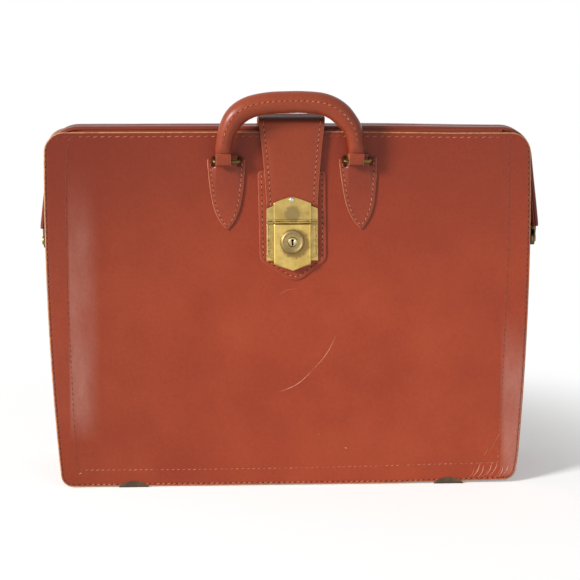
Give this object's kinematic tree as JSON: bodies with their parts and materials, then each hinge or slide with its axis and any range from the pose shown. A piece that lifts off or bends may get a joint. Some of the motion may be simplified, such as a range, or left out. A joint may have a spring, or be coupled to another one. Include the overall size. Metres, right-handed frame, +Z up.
{
  "type": "briefcase",
  "caption": "Frame-top leather briefcase with a rolled handle, an over-the-top strap and a brass sliding-knob lock; it opens on a hinged steel frame.",
  "frame": {"origin": "on the floor under the middle of the closed case", "axes": "+X to the right seen from the front, the front faces -Y, +Z up"},
  "size_m": [0.447, 0.1182, 0.3502],
  "materials": {
    "bridle_hide": "polished bridle leather, worn",
    "gusset_hide": "softer hide of the gussets",
    "lining_hide": "matt split-hide lining",
    "fibre_board": "pressed fibre board",
    "rope_core": "twisted cord",
    "old_brass": "worn polished brass",
    "dull_brass": "tarnished brass",
    "white_metal": "white metal rivet",
    "steel": "plain steel",
    "frame_steel": "brass-plated steel, worn",
    "dark_metal": "dark oxidised metal"
  },
  "bodies": {
    "base": {"base_panel": "bridle_hide", "base_board": "fibre_board", "gusset_left": "gusset_hide", "gusset_right": "gusset_hide", "gusset_fold_left": "gusset_hide", "gusset_fold_right": "gusset_hide"},
    "front": {"front_panel": "bridle_hide", "front_lining": "lining_hide", "document_pocket": "lining_hide", "front_hem": "bridle_hide", "lock_patch": "bridle_hide", "lock_plate": "old_brass", "lock_cover": "old_brass", "lock_posts": "old_brass", "lock_backplate": "steel", "bolt_spring": "steel", "chape_left": "bridle_hide", "chape_right": "bridle_hide", "feet_front": "dark_metal"},
    "back": {"back_panel": "bridle_hide", "back_lining": "lining_hide", "back_hem": "bridle_hide", "strap_anchor": "bridle_hide", "feet_back": "dark_metal"},
    "front_jaw": {"front_frame": "frame_steel", "front_frame_cover": "bridle_hide", "pivot_rivets": "old_brass"},
    "back_jaw": {"back_frame": "frame_steel", "back_frame_cover": "bridle_hide"},
    "strap_over": {"strap_top": "bridle_hide"},
    "strap_end": {"strap_front": "bridle_hide", "hasp_plate": "old_brass", "hasp_rivet": "white_metal", "hasp_staple": "old_brass"},
    "rings": {"ring_left": "old_brass", "ring_right": "old_brass"},
    "handle": {"handle_core": "rope_core", "handle_cover": "bridle_hide"},
    "knob": {"lock_knob": "dull_brass", "lock_bolt": "steel"},
    "plug": {"key_plug": "dull_brass"}
  },
  "joints": [
    {"name": "front_opening", "type": "hinge", "parent": "base", "child": "front", "pos_m": [0, -0.0591, 0], "axis": [1, 0, 0], "range_deg": [0, 7], "deforming": ["gusset_fold_left", "gusset_fold_right"]},
    {"name": "back_opening", "type": "hinge", "parent": "base", "child": "back", "pos_m": [0, 0.0591, 0], "axis": [-1, 0, 0], "range_deg": [0, 7]},
    {"name": "front_frame_fold", "type": "hinge", "parent": "front", "child": "front_jaw", "pos_m": [0, -0.0141, 0.3128], "axis": [1, 0, 0], "range_deg": [0, 16.68]},
    {"name": "frame_pivot", "type": "hinge", "parent": "front_jaw", "child": "back_jaw", "pos_m": [0, 0, 0.2141], "axis": [-1, 0, 0], "range_deg": [0, 47.37]},
    {"name": "strap_lift", "type": "hinge", "parent": "back", "child": "strap_over", "pos_m": [0, 0.018, 0.318], "axis": [-1, 0, 0], "range_deg": [0, 170], "deforming": ["strap_top"]},
    {"name": "strap_fold", "type": "hinge", "parent": "strap_over", "child": "strap_end", "pos_m": [0, -0.019, 0.317], "axis": [-1, 0, 0], "range_deg": [0, 150], "deforming": ["strap_front"]},
    {"name": "ring_swing", "type": "hinge", "parent": "front", "child": "rings", "pos_m": [0, -0.02479, 0.29164], "axis": [1, 0, 0], "range_deg": [-8, 25]},
    {"name": "handle_fold", "type": "hinge", "parent": "rings", "child": "handle", "pos_m": [0, -0.03371, 0.28839], "axis": [1, 0, 0], "range_deg": [-4, 100]},
    {"name": "knob_slide", "type": "slide", "parent": "front", "child": "knob", "axis": [0, -0.1253, -0.9921], "range_m": [0, 0.0045], "stiffness_N_per_m": 400, "springref_m": -0.003, "deforming": ["bolt_spring"]},
    {"name": "key_turn", "type": "hinge", "parent": "knob", "child": "plug", "pos_m": [0, -0.03853, 0.21798], "axis": [0, -0.9921, 0.1253], "range_deg": [0, 90]}
  ],
  "couplings": [
    {"joint": "front_opening", "follows": "strap_lift", "ratio": 0.041176},
    {"joint": "back_opening", "follows": "strap_lift", "ratio": 0.041176},
    {"joint": "front_frame_fold", "follows": "strap_lift", "ratio": 0.098128},
    {"joint": "frame_pivot", "follows": "strap_lift", "ratio": 0.27861},
    {"joint": "strap_fold", "follows": "strap_lift", "ratio": 0.88235}
  ]
}
